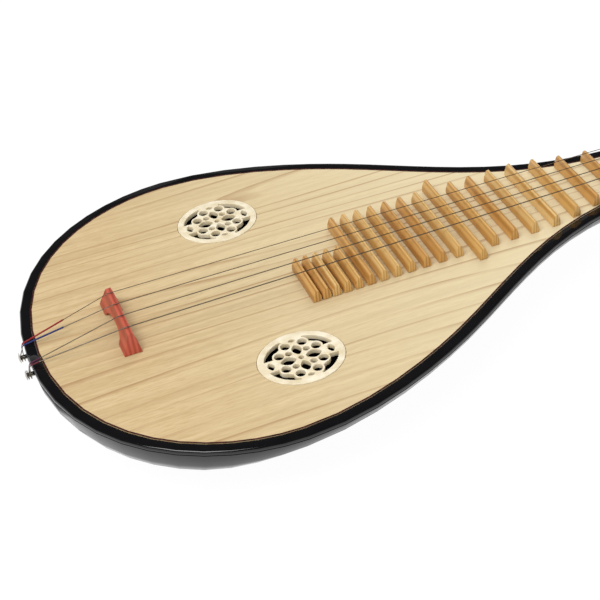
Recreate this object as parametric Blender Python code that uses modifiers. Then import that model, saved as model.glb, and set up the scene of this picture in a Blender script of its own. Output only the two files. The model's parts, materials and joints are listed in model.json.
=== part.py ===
"""Liuqin: a small pear-shaped plucked lute with four strings.

The model is built in the frame of its strings: x = 0 is where the open string
ends at the bridge, +x runs to the nut, +y is the player's high side and z = 0
is the top of the soundboard. An empty then stands the whole instrument on its
back, with its origin under the middle of it.
"""

import math

import bmesh
import bpy
from mathutils import Vector

MM = 0.001

# Clearance between pieces that touch
GAP = 0.3 * MM

# String line and frets
STRING_LENGTH = 380 * MM
FRET_COUNT = 24
FRET_BASE = 5.0 * MM
FRET_HEIGHT = 7.6 * MM
FRET_CREST_RADIUS = 1.1 * MM
FRET_HALF_LENGTH = 29.0 * MM
OCTAVE_HALF_LENGTH = 37.2 * MM
SHORT_FRET_FIRST = 20
SHORT_FRET_REACH = 3.2 * MM
FRET_SIDE_MARGIN = 1.0 * MM

# Soundboard outline, half of it: tail, widest point, shoulder, neck root
TAIL_X = -53.0 * MM
TAIL_HANDLE = 83.9 * MM
WIDEST_X = 52.6 * MM
WIDEST_HALF_WIDTH = 115.2 * MM
WIDEST_HANDLE_TAIL = 44.4 * MM
WIDEST_HANDLE_NECK = 44.3 * MM
SHOULDER_X = 156.3 * MM
SHOULDER_HALF_WIDTH = 81.2 * MM
SHOULDER_SLOPE = -0.58
SHOULDER_HANDLE_TAIL = 14.6 * MM
SHOULDER_HANDLE_NECK = 49.6 * MM
NECK_ROOT_X = 307.4 * MM
NECK_ROOT_HALF_WIDTH = 19.1 * MM
NECK_SLOPE = -0.03
NECK_ROOT_HANDLE = 69.1 * MM
SOUNDBOARD_THICKNESS = 2.5 * MM

# Black rim round the soundboard
RIM_WIDTH = 5.8 * MM
RIM_WIDTH_AT_NUT = 3.5 * MM
RIM_TAPER_START = 290 * MM
RIM_CHAMFER = 0.8 * MM

# Carved back
BACK_DEPTH = 42 * MM
NECK_DEPTH = 16 * MM
DEEPEST_X = 5 * MM
DEPTH_FALL = 41.2 * MM
BELLY_FULLNESS = 2.22
NECK_FULLNESS = 1.74
TAIL_FULLNESS = 1.57
FULLNESS_END_X = 200 * MM
REST_FLAT = 1.0 * MM
BACK_WALL = 5.0 * MM
LEDGE_WIDTH = 4.2 * MM
SHELL_END_X = 270 * MM
HOLLOW_END_X = 250 * MM
SECTION_STEPS = 9

# Rosettes in the two sound holes
ROSETTE_X = 70.5 * MM
ROSETTE_Y = 66.4 * MM
ROSETTE_HALF_LENGTH = 23.3 * MM
ROSETTE_HALF_WIDTH = 20.2 * MM
ROSETTE_RING = 3.8 * MM
ROSETTE_THICKNESS = 3.0 * MM
ROSETTE_PROUD = 0.3 * MM
ELLIPSE_STEPS = 36

# Pieces inside the soundbox
BRACE_WIDTH = 8 * MM
BRACE_HEIGHT = 10 * MM
BRACE_TAIL_X = 28 * MM
BRACE_MIDDLE_X = 112 * MM
BRACE_NECK_X = 182 * MM
TAIL_BLOCK_LENGTH = 14 * MM
TAIL_BLOCK_HEIGHT = 20 * MM
SOUND_POST_RADIUS = 4 * MM

# Bridge
BRIDGE_BASE_TAIL_X = -12.3 * MM
BRIDGE_BASE_NECK_X = -2.0 * MM
BRIDGE_RIDGE_X = -6.3 * MM
BRIDGE_RIDGE_WIDTH = 3.0 * MM
BRIDGE_BASE_HALF_LENGTH = 24.6 * MM
BRIDGE_RIDGE_HALF_LENGTH = 21.3 * MM
BRIDGE_HEIGHT = 11.3 * MM
BRIDGE_FOOT_HEIGHT = 1.0 * MM
BRIDGE_ARCH_HALF_LENGTH = 12.5 * MM
BRIDGE_ARCH_HEIGHT = 5.0 * MM
BRIDGE_SCOOP = 1.7

# Nut
NUT_LENGTH = 5.0 * MM
NUT_FLAT = 2.5 * MM
NUT_HEIGHT = 9.5 * MM
NUT_BACK_HEIGHT = 6.0 * MM
NUT_SIDE_MARGIN = 0.8 * MM

# Neck end, pegbox and head
NECK_END_X = 388 * MM
HEAD_THICKNESS = 19 * MM
HEAD_TIP_X = 587 * MM
PEGBOX_END_X = 524 * MM
PEGBOX_HALF_WIDTH = 17 * MM
PEGBOX_TAPER_END_X = 400 * MM
PEGBOX_EDGE = 2.5 * MM
SLOT_START_X = 401 * MM
SLOT_END_X = 508 * MM
SLOT_HALF_WIDTH = 9 * MM
SLOT_FLOOR = 4 * MM
ORNAMENT_THICKNESS = 13 * MM
ORNAMENT_RADIUS = 19.5 * MM
ORNAMENT_LOBE = 3.8 * MM
ORNAMENT_NECK_HALF_WIDTH = 12 * MM
ORNAMENT_BEVEL = 1.6 * MM

# Pegs
PEG_FIRST_X = 414 * MM
PEG_SPACING = 27 * MM
PEG_DROP = 8 * MM
PEG_NEAR_RADIUS = 4.6 * MM
PEG_FAR_RADIUS = 3.5 * MM
PEG_TIP_REACH = 1.5 * MM
PEG_SHOULDER_RADIUS = 6.5 * MM
PEG_HANDLE_RADIUS = 8.6 * MM
PEG_HANDLE_LENGTH = 64 * MM
PEG_FLUTE = 0.86
PEG_SIDES = 12
PEG_CAP_RADIUS = 5.2 * MM
PEG_CAP_HEIGHT = 5.5 * MM

# Tail pins
PIN_Y = 7.6 * MM
PIN_Z = -6.0 * MM
PIN_SHANK_RADIUS = 1.6 * MM
PIN_HEAD_RADIUS = 3.2 * MM
PIN_HEAD_HEIGHT = 1.6 * MM
PIN_REACH = 4.4 * MM
PIN_BORE_DEPTH = 7.0 * MM

# Strings, from the high one to the low one
STRING_RADII = (0.30 * MM, 0.35 * MM, 0.40 * MM, 0.45 * MM)
BRIDGE_STRING_SPACING = 10.7 * MM
NUT_STRING_SPACING = 8.0 * MM
RIM_STRING_Y = (10.4 * MM, 8.8 * MM, -7.2 * MM, -8.8 * MM)
SILK_ENDS_X = (-35 * MM, -36 * MM, -53 * MM, -54 * MM)
SILK_RADIUS = 0.6 * MM
LOOP_SPACING = 1.4 * MM
WINDING_TURNS = 3
WINDING_PITCH = 1.4 * MM
WINDING_START_Y = 3.4 * MM
WINDING_STEPS = 12

# Derived levels and places
BOARD_BOTTOM_Z = -SOUNDBOARD_THICKNESS
LEDGE_Z = BOARD_BOTTOM_Z - GAP
REST_Z = -(BACK_DEPTH - REST_FLAT)
HEAD_BOTTOM_Z = LEDGE_Z - HEAD_THICKNESS
HEAD_SLOPE = (HEAD_BOTTOM_Z - REST_Z) / (HEAD_TIP_X - NECK_END_X)
TAIL_OUTER_X = TAIL_X - RIM_WIDTH


def hex_colour(value):
    """Return a linear RGBA colour from an sRGB hex number."""
    channels = [(value >> shift & 255) / 255 for shift in (16, 8, 0)]
    linear = [c / 12.92 if c <= 0.04045 else ((c + 0.055) / 1.055) ** 2.4 for c in channels]
    return (*linear, 1.0)


def make_material(name, colour, roughness, metallic=0.0):
    """Make a Principled material."""
    material = bpy.data.materials.new(name)
    material.use_nodes = True
    shader = material.node_tree.nodes["Principled BSDF"]
    shader.inputs["Base Color"].default_value = hex_colour(colour)
    shader.inputs["Roughness"].default_value = roughness
    shader.inputs["Metallic"].default_value = metallic
    material.diffuse_color = hex_colour(colour)
    return material


def add_part(obj, material):
    """File an object among the parts and shade its round faces smooth."""
    parts.objects.link(obj)
    obj.parent = root
    obj.data.materials.append(material)
    obj.data.shade_smooth()
    obj.data.set_sharp_from_angle(angle=math.radians(32))
    return obj


def add_cutter(obj):
    """File an object among the cutters."""
    cutters.objects.link(obj)
    obj.parent = root
    obj.hide_render = True
    obj.display_type = "WIRE"
    return obj


def boolean(obj, cutter, operation="DIFFERENCE"):
    """Cut an object with a cutter, or keep what both share."""
    modifier = obj.modifiers.new(cutter.name, "BOOLEAN")
    modifier.operation = operation
    modifier.object = cutter
    return modifier


def loft(name, rings):
    """Join closed rings of points into one skin with a face on each end."""
    work = bmesh.new()
    rows = [[work.verts.new(point) for point in ring] for ring in rings]
    count = len(rings[0])
    for row, following in zip(rows, rows[1:]):
        for index in range(count):
            after = (index + 1) % count
            work.faces.new((row[index], row[after], following[after], following[index]))
    work.faces.new(rows[0])
    work.faces.new(rows[-1])
    bmesh.ops.remove_doubles(work, verts=work.verts, dist=1e-6)
    bmesh.ops.dissolve_degenerate(work, edges=work.edges, dist=1e-7)
    bmesh.ops.recalc_face_normals(work, faces=work.faces)
    mesh = bpy.data.meshes.new(name)
    work.to_mesh(mesh)
    work.free()
    return bpy.data.objects.new(name, mesh)


def curve_to_mesh(curve_object):
    """Turn a curve object into a closed mesh object in the same place."""
    bpy.context.scene.collection.objects.link(curve_object)
    bpy.context.view_layer.update()
    graph = bpy.context.evaluated_depsgraph_get()
    name = curve_object.name
    matrix = curve_object.matrix_world.copy()
    mesh = bpy.data.meshes.new_from_object(curve_object.evaluated_get(graph))
    curve = curve_object.data
    bpy.data.objects.remove(curve_object)
    bpy.data.curves.remove(curve)
    work = bmesh.new()
    work.from_mesh(mesh)
    bmesh.ops.remove_doubles(work, verts=work.verts, dist=1e-6)
    work.to_mesh(mesh)
    work.free()
    obj = bpy.data.objects.new(name, mesh)
    obj.matrix_world = matrix
    return obj


def prism(name, outlines, thickness, location=(0, 0, 0), rotation=(0, 0, 0)):
    """Extrude a flat outline, with any holes, equally to both sides."""
    curve = bpy.data.curves.new(name, "CURVE")
    curve.dimensions = "2D"
    curve.fill_mode = "BOTH"
    curve.extrude = thickness / 2
    for outline in outlines:
        spline = curve.splines.new("POLY")
        spline.points.add(len(outline) - 1)
        spline.use_cyclic_u = True
        for point, (u, v) in zip(spline.points, outline):
            point.co = (u, v, 0, 1)
    obj = bpy.data.objects.new(name, curve)
    obj.location = location
    obj.rotation_euler = rotation
    return curve_to_mesh(obj)


def turned(name, profile, steps):
    """Turn a profile of (radius, height) points, top to bottom, about z."""
    work = bmesh.new()
    verts = [work.verts.new((radius, 0, height)) for radius, height in profile]
    for upper, lower in zip(verts, verts[1:]):
        work.edges.new((upper, lower))
    mesh = bpy.data.meshes.new(name)
    work.to_mesh(mesh)
    work.free()
    obj = bpy.data.objects.new(name, mesh)
    screw = obj.modifiers.new("turn", "SCREW")
    screw.steps = steps
    screw.render_steps = steps
    screw.use_merge_vertices = True
    screw.merge_threshold = 1e-6
    return obj


def tube(name, points, radii, sides_resolution=1):
    """Make a tube through points, each with its own radius."""
    curve = bpy.data.curves.new(name, "CURVE")
    curve.dimensions = "3D"
    curve.bevel_depth = radii[0]
    curve.bevel_resolution = sides_resolution
    curve.use_fill_caps = True
    spline = curve.splines.new("POLY")
    spline.points.add(len(points) - 1)
    for place, point, radius in zip(spline.points, points, radii):
        place.co = (*point, 1)
        place.radius = radius / radii[0]
    return curve_to_mesh(bpy.data.objects.new(name, curve))


def box(name, low, high):
    """Make a box between two corners."""
    work = bmesh.new()
    bmesh.ops.create_cube(work, size=1)
    size = [b - a for a, b in zip(low, high)]
    middle = [(a + b) / 2 for a, b in zip(low, high)]
    bmesh.ops.scale(work, vec=size, verts=work.verts)
    bmesh.ops.translate(work, vec=middle, verts=work.verts)
    mesh = bpy.data.meshes.new(name)
    work.to_mesh(mesh)
    work.free()
    return bpy.data.objects.new(name, mesh)


def blend(low, high, share):
    """Return the value a share of the way from low to high, kept between them."""
    return low + (high - low) * min(max(share, 0), 1)


def bezier(start, handle_out, handle_in, end, steps):
    """Return points on a cubic curve with the direction at each."""
    result = []
    for step in range(steps):
        t = step / steps
        s = 1 - t
        weights = (s ** 3, 3 * s * s * t, 3 * s * t * t, t ** 3)
        corners = (start, handle_out, handle_in, end)
        point = sum((w * c for w, c in zip(weights, corners)), Vector((0, 0)))
        slopes = (s * s, 2 * s * t, t * t)
        sides = (handle_out - start, handle_in - handle_out, end - handle_in)
        direction = sum((w * d for w, d in zip(slopes, sides)), Vector((0, 0)))
        result.append((point, direction.normalized()))
    return result


def soundboard_half():
    """Return the +y half of the soundboard's outline from tail to neck end."""
    tail = Vector((TAIL_X, 0))
    widest = Vector((WIDEST_X, WIDEST_HALF_WIDTH))
    shoulder = Vector((SHOULDER_X, SHOULDER_HALF_WIDTH))
    neck_root = Vector((NECK_ROOT_X, NECK_ROOT_HALF_WIDTH))
    along_x = Vector((1, 0))
    shoulder_way = Vector((1, SHOULDER_SLOPE)).normalized()
    neck_way = Vector((1, NECK_SLOPE)).normalized()
    points = bezier(tail, tail + Vector((0, TAIL_HANDLE)),
                    widest - along_x * WIDEST_HANDLE_TAIL, widest, 12)
    points += bezier(widest, widest + along_x * WIDEST_HANDLE_NECK,
                     shoulder - shoulder_way * SHOULDER_HANDLE_TAIL, shoulder, 7)
    points += bezier(shoulder, shoulder + shoulder_way * SHOULDER_HANDLE_NECK,
                     neck_root - neck_way * NECK_ROOT_HANDLE, neck_root, 11)
    neck_end = neck_root + neck_way * ((NECK_END_X - NECK_ROOT_X) / neck_way.x)
    points += [(neck_root, neck_way), (neck_end, neck_way)]
    return points


def rim_width(x):
    """Return the rim's width, which narrows along the neck."""
    share = (x - RIM_TAPER_START) / (STRING_LENGTH - RIM_TAPER_START)
    return blend(RIM_WIDTH, RIM_WIDTH_AT_NUT, share)


def half_outline(offset, end_x, start_x=None, with_rim=False):
    """Return the half outline moved outward and cut off at end_x (and start_x)."""
    moved = []
    for point, way in soundboard_half():
        distance = offset + (rim_width(point.x) if with_rim else 0)
        moved.append(point + Vector((-way.y, way.x)) * distance)
    result = []
    for point, following in zip(moved, moved[1:]):
        for cut_x in (start_x, end_x):
            if cut_x is not None and point.x < cut_x <= following.x:
                share = (cut_x - point.x) / (following.x - point.x)
                crossing = point.lerp(following, share)
                if cut_x == start_x:
                    result = [crossing]
                else:
                    return result + [crossing]
        result.append(following)
        if point is moved[0] and start_x is None:
            result = [point, following]
    return result


def half_width_at(x, offset=0.0, with_rim=False):
    """Return the half width of the moved outline at x."""
    return half_outline(offset, x, with_rim=with_rim)[-1].y


def whole_outline(half):
    """Return a closed outline from its +y half, which starts on the axis."""
    return [tuple(p) for p in half] + [(p.x, -p.y) for p in reversed(half[1:])]


def back_depth(x):
    """Return how deep the back lies below the soundboard's top at x."""
    if x < DEEPEST_X:
        return BACK_DEPTH
    fall = math.sqrt(1 + ((x - DEEPEST_X) / DEPTH_FALL) ** 2)
    return NECK_DEPTH + (BACK_DEPTH - NECK_DEPTH) / fall


def bowl_ring(x, half_width, wall, top_z=None):
    """Return one cross-section of the back, from its +y edge down and round.

    The sides are superellipses. Toward the tail the section is swept forward
    to the deepest point, so the tail end rounds under as the sides do. A wall
    above zero gives the hollow's section, which starts at top_z.
    """
    share = (x - DEEPEST_X) / (FULLNESS_END_X - DEEPEST_X)
    fullness = blend(BELLY_FULLNESS, NECK_FULLNESS, share)
    depth = back_depth(x) - wall
    floor_z = REST_Z + wall
    ring = []
    for step in range(2 * SECTION_STEPS + 1):
        angle = math.pi * step / (2 * SECTION_STEPS)
        across = math.copysign(abs(math.cos(angle)) ** (2 / fullness), math.cos(angle))
        down = math.sin(angle) ** (2 / fullness) if 0 < step < 2 * SECTION_STEPS else 0
        forward = abs(math.cos(angle)) ** (2 / TAIL_FULLNESS)
        if step == SECTION_STEPS:
            across = 0
            forward = 0
        place_x = DEEPEST_X + (x - DEEPEST_X) * forward if x < DEEPEST_X else x
        place_z = LEDGE_Z - (depth + LEDGE_Z) * down
        ring.append((place_x, half_width * across, max(place_z, floor_z)))
    if top_z is not None:
        ring = [(x, half_width, top_z)] + ring + [(x, -half_width, top_z)]
    return ring


def hollow_form(name, clearance):
    """Make the soundbox's hollow as a solid, drawn in by a clearance."""
    outline = half_outline(-LEDGE_WIDTH - clearance, HOLLOW_END_X - clearance)
    top_z = LEDGE_Z + BACK_WALL
    return loft(name, [bowl_ring(p.x, p.y, BACK_WALL + clearance, top_z) for p in outline])


def make_back_shell():
    """Carve the back: outer form, less the hollow and the tail pins' bores."""
    outline = half_outline(0, SHELL_END_X, with_rim=True)
    shell = loft("back_shell", [bowl_ring(p.x, p.y, 0) for p in outline])
    boolean(shell, add_cutter(hollow_form("hollow_cut", 0)))
    for side in (1, -1):
        bore = turned(f"pin_bore_{side}", [(0, PIN_REACH), (PIN_SHANK_RADIUS + GAP, PIN_REACH),
                                           (PIN_SHANK_RADIUS + GAP, -PIN_BORE_DEPTH),
                                           (0, -PIN_BORE_DEPTH)], 16)
        bore.location = (TAIL_OUTER_X, side * PIN_Y, PIN_Z)
        bore.rotation_euler = (0, -math.pi / 2, 0)
        boolean(shell, add_cutter(bore))
    return add_part(shell, lacquer)


def make_neck():
    """Loft the neck, which carries on the back's section to the nut."""
    outline = half_outline(0, NECK_END_X - 0.001 * MM, SHELL_END_X + GAP, with_rim=True)
    return add_part(loft("neck", [bowl_ring(p.x, p.y, 0) for p in outline]), lacquer)


def ellipse(half_length, half_width, centre=(0, 0), steps=ELLIPSE_STEPS):
    """Return points round an ellipse."""
    angles = [math.tau * step / steps for step in range(steps)]
    return [(centre[0] + half_length * math.cos(a), centre[1] + half_width * math.sin(a))
            for a in angles]


def make_soundboard():
    """Make the soundboard with its two oval sound holes."""
    outline = whole_outline(half_outline(-GAP / 2, STRING_LENGTH - GAP))
    holes = [ellipse(ROSETTE_HALF_LENGTH + GAP, ROSETTE_HALF_WIDTH + GAP,
                     (ROSETTE_X, side * ROSETTE_Y)) for side in (1, -1)]
    board = prism("soundboard", [outline] + holes, SOUNDBOARD_THICKNESS,
                  (0, 0, -SOUNDBOARD_THICKNESS / 2))
    return add_part(board, paulownia)


def make_rim(name, side):
    """Run one half of the rim from the tail to the nut."""
    inner = half_outline(GAP / 2, STRING_LENGTH - GAP)
    outer = half_outline(0, STRING_LENGTH - GAP, with_rim=True)
    rings = []
    for near, far in zip(inner, outer):
        out = (far - near).normalized()
        corner = far - out * RIM_CHAMFER
        seam = GAP / 2 if near is inner[0] else 0
        rings.append([(near.x, side * (near.y + seam), BOARD_BOTTOM_Z),
                      (near.x, side * (near.y + seam), 0),
                      (corner.x, side * (corner.y + seam), 0),
                      (far.x, side * (far.y + seam), -RIM_CHAMFER),
                      (far.x, side * (far.y + seam), BOARD_BOTTOM_Z)])
    return add_part(loft(name, rings), lacquer)


def arc(centre, radius, first, last, steps):
    """Return points on an arc between two angles in degrees."""
    angles = [math.radians(first + (last - first) * step / steps) for step in range(steps + 1)]
    return [(centre[0] + radius * math.cos(a), centre[1] + radius * math.sin(a)) for a in angles]


def leaf(centre, half_length, half_width, turn=0.0):
    """Return a pointed leaf outline, long along its own axis."""
    points = []
    for step in range(8):
        angle = math.tau * step / 8
        u = half_length * math.cos(angle)
        v = half_width * math.sin(angle) * (1 - 0.35 * abs(math.cos(angle)))
        points.append((centre[0] + u * math.cos(turn) - v * math.sin(turn),
                       centre[1] + u * math.sin(turn) + v * math.cos(turn)))
    return points


def rosette_holes():
    """Return the openings of a rosette: flower, lobes, leaves and crescents."""
    quarter = math.pi / 2
    lobe_hole = 1.9 * MM
    lobe_edge = 3.5 * MM
    holes = [ellipse(1.5 * MM, 1.5 * MM, steps=10)]
    for sign in (1, -1):
        holes.append(leaf((sign * 7.3 * MM, 0), 3.1 * MM, 2.0 * MM))
        holes.append(leaf((0, sign * 6.8 * MM), 3.0 * MM, 1.8 * MM, quarter))
        holes.append(leaf((sign * 16.6 * MM, 0), 2.2 * MM, 1.3 * MM, quarter))
    inner_length = ROSETTE_HALF_LENGTH - ROSETTE_RING
    inner_width = ROSETTE_HALF_WIDTH - ROSETTE_RING
    side_lobe = (10.3 * MM, 5.2 * MM)
    end_lobe = (4.6 * MM, 11.2 * MM)
    crescent = []
    for step in range(9):
        angle = math.radians(18 + (70 - 18) * step / 8)
        crescent.append((inner_length * math.cos(angle), inner_width * math.sin(angle)))
    crescent += arc(end_lobe, lobe_edge, 78, -10, 5)
    crescent += arc(side_lobe, lobe_edge, 88, 0, 5)
    for sign_x in (1, -1):
        for sign_y in (1, -1):
            for lobe in (side_lobe, end_lobe):
                centre = (sign_x * lobe[0], sign_y * lobe[1])
                holes.append(ellipse(lobe_hole, lobe_hole, centre, 10))
            holes.append([(sign_x * u, sign_y * v) for u, v in crescent])
    return holes


def make_rosette(name, side):
    """Make one openwork rosette, which fills a sound hole."""
    outlines = [ellipse(ROSETTE_HALF_LENGTH, ROSETTE_HALF_WIDTH)] + rosette_holes()
    rosette = prism(name, outlines, ROSETTE_THICKNESS,
                    (ROSETTE_X, side * ROSETTE_Y, ROSETTE_PROUD - ROSETTE_THICKNESS / 2))
    return add_part(rosette, ivory)


def make_brace(name, x, shared_form):
    """Make one brace: a bar under the soundboard, cut to the hollow's sides."""
    top_z = BOARD_BOTTOM_Z - GAP
    reach = WIDEST_HALF_WIDTH
    bar = box(name, (x - BRACE_WIDTH / 2, -reach, top_z - BRACE_HEIGHT),
              (x + BRACE_WIDTH / 2, reach, top_z))
    boolean(bar, shared_form, "INTERSECT")
    return add_part(bar, spruce)


def make_tail_block(shared_form):
    """Make the block inside the tail, cut to the hollow's end."""
    start_x = TAIL_X
    end_x = TAIL_X + LEDGE_WIDTH + TAIL_BLOCK_LENGTH
    top_z = BOARD_BOTTOM_Z - GAP
    half_length = 30 * MM
    block = box("tail_block", (start_x, -half_length, top_z - TAIL_BLOCK_HEIGHT),
                (end_x, half_length, top_z))
    boolean(block, shared_form, "INTERSECT")
    return add_part(block, spruce)


def make_sound_post():
    """Stand the sound post between the soundboard and the back's floor."""
    top_z = BOARD_BOTTOM_Z - GAP
    bottom_z = REST_Z + BACK_WALL + GAP
    post = turned("sound_post", [(0, top_z), (SOUND_POST_RADIUS, top_z),
                                 (SOUND_POST_RADIUS, bottom_z), (0, bottom_z)], 16)
    post.location = (DEEPEST_X, 0, 0)
    return add_part(post, spruce)


def bridge_ring(y, bottom_z, top_z):
    """Return the bridge's section at y, with scooped faces."""
    base_middle = (BRIDGE_BASE_TAIL_X + BRIDGE_BASE_NECK_X) / 2
    base_half = (BRIDGE_BASE_NECK_X - BRIDGE_BASE_TAIL_X) / 2
    levels = []
    for share in (0, 0.12, 0.35, 0.65, 1):
        z = bottom_z + (top_z - bottom_z) * share
        rise = z / BRIDGE_HEIGHT
        half = blend(BRIDGE_RIDGE_WIDTH / 2, base_half, (1 - rise) ** BRIDGE_SCOOP)
        middle = blend(base_middle, BRIDGE_RIDGE_X, rise)
        levels.append((middle, half, z))
    tail_side = [(middle - half, y, z) for middle, half, z in levels]
    neck_side = [(middle + half, y, z) for middle, half, z in levels]
    return tail_side + list(reversed(neck_side))


def make_bridge():
    """Loft the bridge along y: sloping ends, two feet and an arch between."""
    stations = [(BRIDGE_BASE_HALF_LENGTH, GAP, BRIDGE_FOOT_HEIGHT),
                (BRIDGE_RIDGE_HALF_LENGTH, GAP, BRIDGE_HEIGHT),
                (BRIDGE_ARCH_HALF_LENGTH + 1 * MM, GAP, BRIDGE_HEIGHT)]
    steps = 4
    for step in range(steps + 1):
        angle = math.pi / 2 * step / steps
        y = BRIDGE_ARCH_HALF_LENGTH * math.cos(angle)
        arch_z = GAP + (BRIDGE_ARCH_HEIGHT - GAP) * (0.25 + 0.75 * math.sin(angle))
        stations.append((y, arch_z, BRIDGE_HEIGHT))
    halves = stations[:-1] + [stations[-1]] + [(-y, low, high) for y, low, high in
                                               reversed(stations[:-1])]
    return add_part(loft("bridge", [bridge_ring(*station) for station in halves]), redwood)


def fret_outline():
    """Return a fret's section in x and z: flat base, straight sides, round crest."""
    half = FRET_BASE / 2
    crest_z = FRET_HEIGHT - FRET_CREST_RADIUS
    return [(-half, GAP), (half, GAP)] + arc((0, crest_z), FRET_CREST_RADIUS, 0, 180, 4)


def fret_reach(number, x):
    """Return how far fret number reaches to -y and to +y."""
    if number >= SHORT_FRET_FIRST:
        return FRET_HALF_LENGTH, SHORT_FRET_REACH
    longest = OCTAVE_HALF_LENGTH if number == 12 else FRET_HALF_LENGTH
    half = min(longest, half_width_at(x + FRET_BASE / 2) - FRET_SIDE_MARGIN)
    return half, half


def make_fret(number):
    """Make one bamboo fret at its place in the tempered scale."""
    x = STRING_LENGTH * 2 ** (-number / 12)
    low_reach, high_reach = fret_reach(number, x)
    fret = prism(f"fret_{number:02d}", [fret_outline()], low_reach + high_reach,
                 (x, (high_reach - low_reach) / 2, 0), (math.pi / 2, 0, 0))
    return add_part(fret, bamboo)


def make_nut():
    """Make the tall nut on the end of the neck."""
    start_x = STRING_LENGTH
    end_x = STRING_LENGTH + NUT_LENGTH
    half = half_width_at(STRING_LENGTH) - NUT_SIDE_MARGIN
    outline = [(start_x, BOARD_BOTTOM_Z), (end_x, BOARD_BOTTOM_Z), (end_x, NUT_BACK_HEIGHT),
               (start_x + NUT_FLAT, NUT_HEIGHT), (start_x, NUT_HEIGHT)]
    nut = prism("nut", [outline], 2 * half, rotation=(math.pi / 2, 0, 0))
    return add_part(nut, ivory)


def lean(obj):
    """Lean a piece of the head back, so that its tip rests beside the belly."""
    for vertex in obj.data.vertices:
        vertex.co.z -= (vertex.co.x - NECK_END_X) * HEAD_SLOPE
    return obj


def pegbox_ring(x, half_width, bottom_z):
    """Return the pegbox's section: flat top, chamfered lower edges."""
    edge = PEGBOX_EDGE
    return [(x, half_width, LEDGE_Z), (x, half_width, bottom_z + 2 * edge),
            (x, half_width - edge, bottom_z), (x, -half_width + edge, bottom_z),
            (x, -half_width, bottom_z + 2 * edge), (x, -half_width, LEDGE_Z)]


def peg_x(place):
    """Return the x of the peg at a place counted from the nut."""
    return PEG_FIRST_X + PEG_SPACING * place


def peg_z(x):
    """Return the height of a peg's axis at x."""
    return LEDGE_Z - PEG_DROP - (x - NECK_END_X) * HEAD_SLOPE


def peg_radius(along):
    """Return a peg's radius at a distance along it from the pegbox's middle."""
    share = (along + PEGBOX_HALF_WIDTH) / (2 * PEGBOX_HALF_WIDTH)
    return PEG_FAR_RADIUS + (PEG_NEAR_RADIUS - PEG_FAR_RADIUS) * share


def make_pegbox():
    """Make the pegbox: a channel with a floor and a tapered bore for each peg."""
    start_half = half_width_at(NECK_END_X - MM, with_rim=True)
    neck_bottom = -back_depth(NECK_END_X)
    start_x = NECK_END_X + GAP
    pegbox = lean(loft("pegbox", [pegbox_ring(start_x, start_half, neck_bottom),
                                  pegbox_ring(PEGBOX_TAPER_END_X, PEGBOX_HALF_WIDTH, HEAD_BOTTOM_Z),
                                  pegbox_ring(PEGBOX_END_X, PEGBOX_HALF_WIDTH, HEAD_BOTTOM_Z)]))
    slot = lean(box("slot_cut", (SLOT_START_X, -SLOT_HALF_WIDTH, HEAD_BOTTOM_Z + SLOT_FLOOR),
                    (SLOT_END_X, SLOT_HALF_WIDTH, LEDGE_Z + SLOT_FLOOR)))
    boolean(pegbox, add_cutter(slot))
    past = PEGBOX_HALF_WIDTH + PEG_TIP_REACH
    for number, (place, side) in PEG_PLACES.items():
        x = peg_x(place)
        bore = turned(f"peg_bore_{number}", [(0, past), (peg_radius(past) + GAP, past),
                                             (peg_radius(-past) + GAP, -past), (0, -past)], 16)
        bore.location = (x, 0, peg_z(x))
        bore.rotation_euler = (-side * math.pi / 2, 0, 0)
        boolean(pegbox, add_cutter(bore))
    return add_part(pegbox, lacquer)


def make_head_ornament():
    """Make the lobed plate that ends the head, flush with its back."""
    start_x = PEGBOX_END_X + GAP
    centre_x = HEAD_TIP_X - ORNAMENT_RADIUS - ORNAMENT_LOBE
    outline = [(start_x, -ORNAMENT_NECK_HALF_WIDTH)]
    for step in range(29):
        angle = math.radians(-140 + 10 * step)
        radius = ORNAMENT_RADIUS + ORNAMENT_LOBE * math.cos(4 * angle)
        outline.append((centre_x + radius * math.cos(angle), radius * math.sin(angle)))
    outline.append((start_x, ORNAMENT_NECK_HALF_WIDTH))
    middle_z = HEAD_BOTTOM_Z + ORNAMENT_THICKNESS / 2
    plate = prism("head_ornament", [outline], ORNAMENT_THICKNESS)
    for vertex in plate.data.vertices:
        vertex.co.z += middle_z
    bevel = lean(plate).modifiers.new("edges", "BEVEL")
    bevel.width = ORNAMENT_BEVEL
    bevel.segments = 1
    bevel.limit_method = "ANGLE"
    bevel.angle_limit = math.radians(50)
    return add_part(plate, ivory)


def peg_ring(along, radius, flute=1.0):
    """Return a ring of a peg; a flute below one draws in every other point."""
    ring = []
    for side in range(PEG_SIDES):
        angle = math.tau * side / PEG_SIDES
        reach = radius * (flute if side % 2 else 1)
        ring.append((reach * math.cos(angle), reach * math.sin(angle), along))
    return ring


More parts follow.
